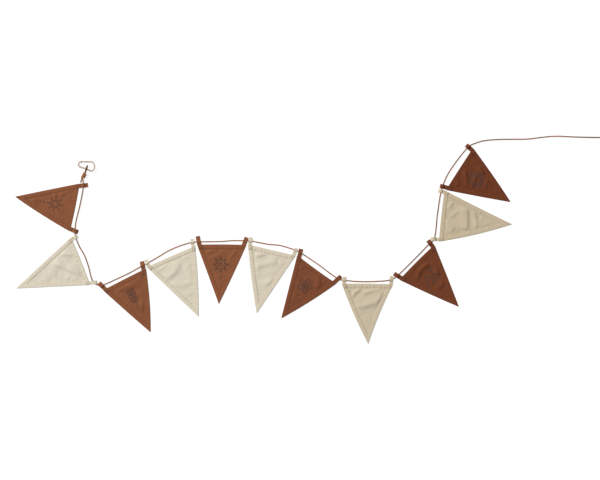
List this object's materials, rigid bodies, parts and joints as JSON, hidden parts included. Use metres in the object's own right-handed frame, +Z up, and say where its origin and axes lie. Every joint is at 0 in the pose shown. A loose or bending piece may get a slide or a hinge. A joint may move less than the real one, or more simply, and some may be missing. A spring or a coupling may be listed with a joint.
{
  "type": "fabric bunting",
  "caption": "String of hemmed cloth pennants threaded by tab loops on one cord, with a wire snap hook tied to its end, laid out flat in a curve.",
  "frame": {"origin": "on the surface it lies on, under the middle of the box round the pennants and the hook", "axes": "+Z up off the surface, +X along the string's longest run, +Y towards the hook's and lead's side"},
  "size_m": [1.521, 0.5275, 0.0116],
  "materials": {
    "rust_canvas": "plain woven cotton canvas, rust brown, matt",
    "cream_canvas": "plain woven cotton canvas, natural cream, matt",
    "brown_cord": "twisted brown cord, matt",
    "hook_metal": "satin bent wire"
  },
  "bodies": {
    "string": {"flag_01": "rust_canvas", "flag_02": "cream_canvas", "flag_03": "rust_canvas", "flag_04": "cream_canvas", "flag_05": "rust_canvas", "flag_06": "cream_canvas", "flag_07": "rust_canvas", "flag_08": "cream_canvas", "flag_09": "rust_canvas", "flag_10": "cream_canvas", "flag_11": "rust_canvas", "tab_01_a": "rust_canvas", "tab_01_b": "rust_canvas", "tab_02_a": "cream_canvas", "tab_02_b": "cream_canvas", "tab_03_a": "rust_canvas", "tab_03_b": "rust_canvas", "tab_04_a": "cream_canvas", "tab_04_b": "cream_canvas", "tab_05_a": "rust_canvas", "tab_05_b": "rust_canvas", "tab_06_a": "cream_canvas", "tab_06_b": "cream_canvas", "tab_07_a": "rust_canvas", "tab_07_b": "rust_canvas", "tab_08_a": "cream_canvas", "tab_08_b": "cream_canvas", "tab_09_a": "rust_canvas", "tab_09_b": "rust_canvas", "tab_10_a": "cream_canvas", "tab_10_b": "cream_canvas", "tab_11_a": "rust_canvas", "tab_11_b": "rust_canvas", "cord": "brown_cord", "hitch": "brown_cord", "end_knot": "brown_cord", "hook_body": "hook_metal"},
    "gate": {"hook_gate": "hook_metal"}
  },
  "joints": [
    {"name": "gate_hinge", "type": "hinge", "parent": "string", "child": "gate", "pos_m": [-0.4526, 0.2054, 0.0021], "axis": [0, -0.1822, -0.9833], "range_deg": [0, 25], "stiffness_Nm_per_rad": 0.002, "springref_deg": -20.05}
  ]
}
